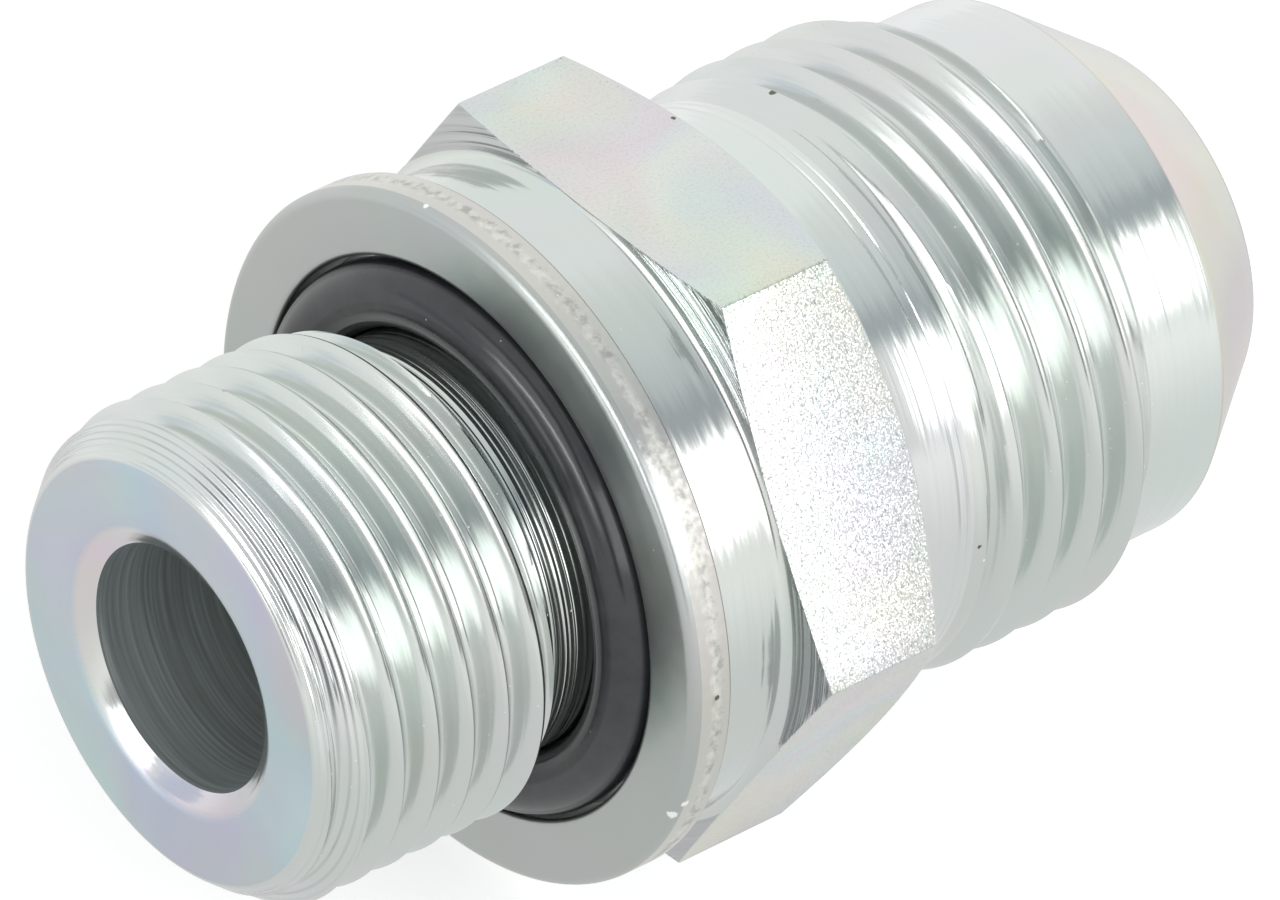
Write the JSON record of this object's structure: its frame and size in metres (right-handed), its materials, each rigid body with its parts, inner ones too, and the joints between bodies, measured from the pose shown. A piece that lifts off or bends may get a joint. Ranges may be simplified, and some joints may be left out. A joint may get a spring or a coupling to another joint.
{
  "type": "straight adapter fitting",
  "caption": "Straight hydraulic adapter: metric stud end with O-ring and retaining ring, hexagon, and 37 degree flare end.",
  "frame": {"origin": "on the axis, in the plane of the retaining ring's front face, where the fitting meets its port", "axes": "+X along the axis from the stud end to the flare end, +Z square to the top flat of the hexagon"},
  "size_m": [0.0425, 0.0278, 0.0254],
  "materials": {
    "zinc_plated_steel": "bright zinc plate over turned and drawn steel",
    "zinc_plated_ring": "satin zinc plate over a stamped washer",
    "black_rubber": "smooth moulded rubber with a soft sheen"
  },
  "bodies": {
    "root": {"adapter_body": "zinc_plated_steel", "retaining_ring": "zinc_plated_ring", "o_ring": "black_rubber"}
  },
  "joints": []
}
